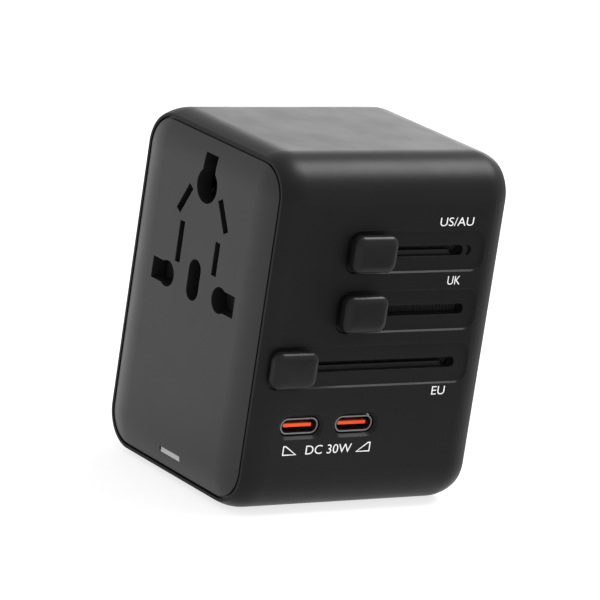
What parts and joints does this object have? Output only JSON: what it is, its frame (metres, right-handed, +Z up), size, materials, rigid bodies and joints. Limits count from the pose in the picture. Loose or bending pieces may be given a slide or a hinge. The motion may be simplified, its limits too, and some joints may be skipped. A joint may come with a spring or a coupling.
{
  "type": "universal travel adapter",
  "caption": "Block-shaped universal travel adapter: multi-standard socket face, three sliding plug sets worked by side knobs, two USB-C ports.",
  "frame": {"origin": "middle of the housing's flat bottom face", "axes": "+Z up through the long side of the housing, -Y out of the socket face, +Y the way the plugs come out, +X out of the side with the knobs and USB-C ports"},
  "size_m": [0.053, 0.056, 0.072],
  "materials": {
    "shell_plastic": "fine spark-eroded matte",
    "panel_plastic": "fine satin",
    "knob_plastic": "satin with bevelled edges",
    "inner_plastic": "moulded",
    "shutter_plastic": "moulded",
    "carriage_plastic": "moulded",
    "nose_plastic": "moulded satin",
    "sleeve_plastic": "moulded",
    "pin_metal": "nickel-plated brass",
    "contact_brass": "stamped",
    "screw_steel": "blackened zinc",
    "spring_steel": "drawn wire",
    "plated_metal": "nickel-plated, drawn",
    "tongue_plastic": "moulded",
    "board_laminate": "solder mask",
    "ferrite": "sintered",
    "winding_tape": "polyester tape",
    "capacitor_sleeve": "shrink sleeve",
    "copper_wire": "enamelled",
    "chip_epoxy": "moulded epoxy",
    "lead_insulation": "soft insulation",
    "fuse_ceramic": "ceramic",
    "lens_plastic": "translucent grey",
    "lamp_epoxy": "clear epoxy"
  },
  "bodies": {
    "housing": {"housing_sleeve": "shell_plastic", "rear_cover": "shell_plastic", "front_panel": "panel_plastic", "cover_screws": "screw_steel", "side_guide": "inner_plastic", "inner_shelf": "inner_plastic", "upper_tray": "inner_plastic", "socket_block": "inner_plastic", "neutral_contact": "contact_brass", "line_contact": "contact_brass", "neutral_bar": "contact_brass", "line_bar": "contact_brass", "shutter_spring": "spring_steel", "fuse_tube": "fuse_ceramic", "fuse_caps": "plated_metal", "fuse_clips": "plated_metal", "usb_shell_front": "plated_metal", "usb_shell_back": "plated_metal", "usb_tongue_front": "tongue_plastic", "usb_tongue_back": "tongue_plastic", "charger_board": "board_laminate", "transformer_core": "ferrite", "transformer_winding": "winding_tape", "input_capacitor": "capacitor_sleeve", "output_capacitor": "capacitor_sleeve", "filter_choke": "copper_wire", "bridge_rectifier": "chip_epoxy", "control_chips": "chip_epoxy", "supply_leads": "lead_insulation", "lamp_lens": "lens_plastic", "power_lamp": "lamp_epoxy"},
    "shutter": {"socket_shutter": "shutter_plastic"},
    "us_slider": {"us_carriage": "carriage_plastic", "us_wipers": "contact_brass", "us_knob_spring": "spring_steel"},
    "us_knob": {"us_knob": "knob_plastic"},
    "us_blade_left": {"us_blade_left": "pin_metal", "us_disc_left": "nose_plastic"},
    "us_blade_right": {"us_blade_right": "pin_metal", "us_disc_right": "nose_plastic"},
    "uk_slider": {"uk_carriage": "carriage_plastic", "uk_line_pin": "pin_metal", "uk_neutral_pin": "pin_metal", "uk_pin_sleeves": "sleeve_plastic", "uk_earth_pin": "nose_plastic", "uk_wipers": "contact_brass", "uk_knob_spring": "spring_steel"},
    "uk_knob": {"uk_knob": "knob_plastic"},
    "eu_slider": {"eu_nose": "nose_plastic", "eu_line_pin": "pin_metal", "eu_neutral_pin": "pin_metal", "eu_pin_sleeves": "sleeve_plastic", "eu_wipers": "contact_brass", "eu_knob_spring": "spring_steel"},
    "eu_knob": {"eu_knob": "knob_plastic"}
  },
  "joints": [
    {"name": "us_au_slide", "type": "slide", "parent": "housing", "child": "us_slider", "axis": [0, 1, 0], "range_m": [0, 0.0215]},
    {"name": "uk_slide", "type": "slide", "parent": "housing", "child": "uk_slider", "axis": [0, 1, 0], "range_m": [0, 0.023]},
    {"name": "eu_slide", "type": "slide", "parent": "housing", "child": "eu_slider", "axis": [0, 1, 0], "range_m": [0, 0.038]},
    {"name": "us_knob_press", "type": "slide", "parent": "us_slider", "child": "us_knob", "axis": [-1, 0, 0], "range_m": [0, 0.0008], "stiffness_N_per_m": 1200, "springref_m": -0.0005, "deforming": ["us_knob_spring"]},
    {"name": "uk_knob_press", "type": "slide", "parent": "uk_slider", "child": "uk_knob", "axis": [-1, 0, 0], "range_m": [0, 0.0008], "stiffness_N_per_m": 1200, "springref_m": -0.0005, "deforming": ["uk_knob_spring"]},
    {"name": "eu_knob_press", "type": "slide", "parent": "eu_slider", "child": "eu_knob", "axis": [-1, 0, 0], "range_m": [0, 0.0008], "stiffness_N_per_m": 1200, "springref_m": -0.0005, "deforming": ["eu_knob_spring"]},
    {"name": "us_blade_left_turn", "type": "hinge", "parent": "us_slider", "child": "us_blade_left", "pos_m": [-0.00635, 0.004, 0.0485], "axis": [0, 1, 0], "range_deg": [0, 30]},
    {"name": "us_blade_right_turn", "type": "hinge", "parent": "us_slider", "child": "us_blade_right", "pos_m": [0.00635, 0.004, 0.0485], "axis": [0, -1, 0], "range_deg": [0, 30]},
    {"name": "shutter_slide", "type": "slide", "parent": "housing", "child": "shutter", "axis": [0, 0, -1], "range_m": [0, 0.006], "stiffness_N_per_m": 30, "springref_m": -0.004, "deforming": ["shutter_spring"]}
  ]
}
